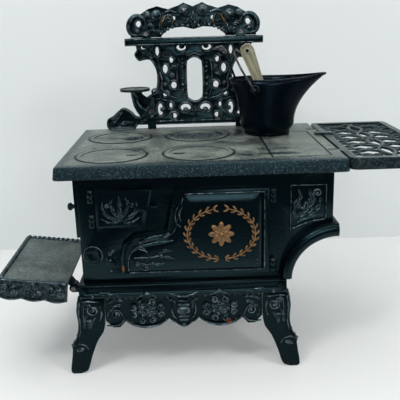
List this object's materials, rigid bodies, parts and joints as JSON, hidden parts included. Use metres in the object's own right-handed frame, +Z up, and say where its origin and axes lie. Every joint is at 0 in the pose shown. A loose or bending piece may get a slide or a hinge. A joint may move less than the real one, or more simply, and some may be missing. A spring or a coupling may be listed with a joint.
{
  "type": "toy stove",
  "caption": "Cast iron toy cooking stove with lift-out lids, hinged doors, side shelves, a high back with warming shelf, and a coal scuttle with shovel and lid lifter.",
  "frame": {"origin": "middle of the outer box in plan, on the floor under the feet", "axes": "+X to the right of someone facing the stove, +Y towards its back, +Z up"},
  "size_m": [0.3612, 0.1742, 0.304],
  "materials": {
    "painted_iron": "black japanned cast iron, glossy and a little worn",
    "worn_iron": "matte dusty cast iron with rust tints",
    "sooty_iron": "rough unpainted cast iron",
    "tin": "satin black sheet metal",
    "brass": "pale dull brass",
    "wire": "dark steel wire and fastenings"
  },
  "bodies": {
    "stove": {"back_plate": "painted_iron", "base_frame": "painted_iron", "cooktop": "worn_iron", "crest": "painted_iron", "crest_rivet_left": "wire", "crest_rivet_right": "wire", "fire_door_pin_lower": "wire", "fire_door_pin_upper": "wire", "fire_grate": "sooty_iron", "floor_plate": "sooty_iron", "front_plate": "painted_iron", "hearth_pin_front": "wire", "hearth_pin_rear": "wire", "high_back": "painted_iron", "left_plate": "painted_iron", "leg_front_left": "painted_iron", "leg_front_right": "painted_iron", "leg_rear_left": "painted_iron", "leg_rear_right": "painted_iron", "oven_door_pin_lower": "wire", "oven_door_pin_upper": "wire", "oven_partition": "sooty_iron", "reservoir_base": "painted_iron", "reservoir_shell": "painted_iron", "right_plate": "painted_iron", "shelf_rivet_left": "wire", "shelf_rivet_right": "wire", "side_door_pin_lower": "wire", "side_door_pin_upper": "wire", "teapot_rivet": "wire", "teapot_shelf": "painted_iron", "tie_nut_front_left": "wire", "tie_nut_front_right": "wire", "tie_nut_rear_left": "wire", "tie_nut_rear_right": "wire", "tie_rod_front_left": "wire", "tie_rod_front_right": "wire", "tie_rod_rear_left": "wire", "tie_rod_rear_right": "wire", "warming_shelf": "painted_iron"},
    "lid_front_left": {"lid_front_left": "worn_iron"},
    "lid_rear_left": {"lid_rear_left": "worn_iron"},
    "lid_front_right": {"lid_front_right": "worn_iron"},
    "lid_rear_right": {"lid_rear_right": "worn_iron"},
    "reservoir_cover": {"reservoir_cover": "worn_iron"},
    "scuttle": {"scuttle_bucket": "tin"},
    "bail": {"scuttle_bail": "wire"},
    "shovel": {"shovel": "brass"},
    "lid_lifter": {"lid_lifter": "tin"},
    "fire_door": {"fire_door": "painted_iron"},
    "oven_door": {"oven_door": "painted_iron"},
    "side_door": {"side_door": "painted_iron", "side_door_knob": "painted_iron"},
    "hearth_shelf": {"hearth_shelf": "painted_iron"},
    "end_shelf": {"end_shelf": "worn_iron"}
  },
  "joints": [
    {"name": "front_left_lid_lift", "type": "slide", "parent": "stove", "child": "lid_front_left", "axis": [0, 0, 1], "range_m": [0, 0.012]},
    {"name": "rear_left_lid_lift", "type": "slide", "parent": "stove", "child": "lid_rear_left", "axis": [0, 0, 1], "range_m": [0, 0.012]},
    {"name": "front_right_lid_lift", "type": "slide", "parent": "stove", "child": "lid_front_right", "axis": [0, 0, 1], "range_m": [0, 0.012]},
    {"name": "rear_right_lid_lift", "type": "slide", "parent": "stove", "child": "lid_rear_right", "axis": [0, 0, 1], "range_m": [0, 0.012]},
    {"name": "reservoir_cover_lift", "type": "slide", "parent": "stove", "child": "reservoir_cover", "axis": [0, 0, 1], "range_m": [0, 0.004]},
    {"name": "scuttle_lift", "type": "slide", "parent": "reservoir_cover", "child": "scuttle", "axis": [0, -0.8, 0.6], "range_m": [0, 0.03]},
    {"name": "bail_swing", "type": "hinge", "parent": "scuttle", "child": "bail", "pos_m": [0.04674, 0.03821, 0.2258], "axis": [0.2419, 0.9703, 0], "range_deg": [0, 4]},
    {"name": "shovel_pull", "type": "slide", "parent": "scuttle", "child": "shovel", "axis": [-0.3477, 0.0867, 0.9336], "range_m": [0, 0.035]},
    {"name": "lifter_pull", "type": "slide", "parent": "scuttle", "child": "lid_lifter", "axis": [-0.451, 0, 0.8925], "range_m": [0, 0.03]},
    {"name": "fire_door_swing", "type": "hinge", "parent": "stove", "child": "fire_door", "pos_m": [-0.10048, -0.0782, 0.146], "axis": [0, 0, -1], "range_deg": [0, 110]},
    {"name": "oven_door_swing", "type": "hinge", "parent": "stove", "child": "oven_door", "pos_m": [0.04452, -0.0782, 0.124], "axis": [0, 0, 1], "range_deg": [0, 110]},
    {"name": "side_door_swing", "type": "hinge", "parent": "stove", "child": "side_door", "pos_m": [-0.11508, -0.0056, 0.145], "axis": [0, 0, -1], "range_deg": [0, 95]},
    {"name": "hearth_shelf_tilt", "type": "hinge", "parent": "stove", "child": "hearth_shelf", "pos_m": [-0.12048, -0.0341, 0.078], "axis": [0, 1, 0], "range_deg": [0, 25]},
    {"name": "end_shelf_lift", "type": "slide", "parent": "stove", "child": "end_shelf", "axis": [0, 0, 1], "range_m": [0, 0.014]}
  ]
}
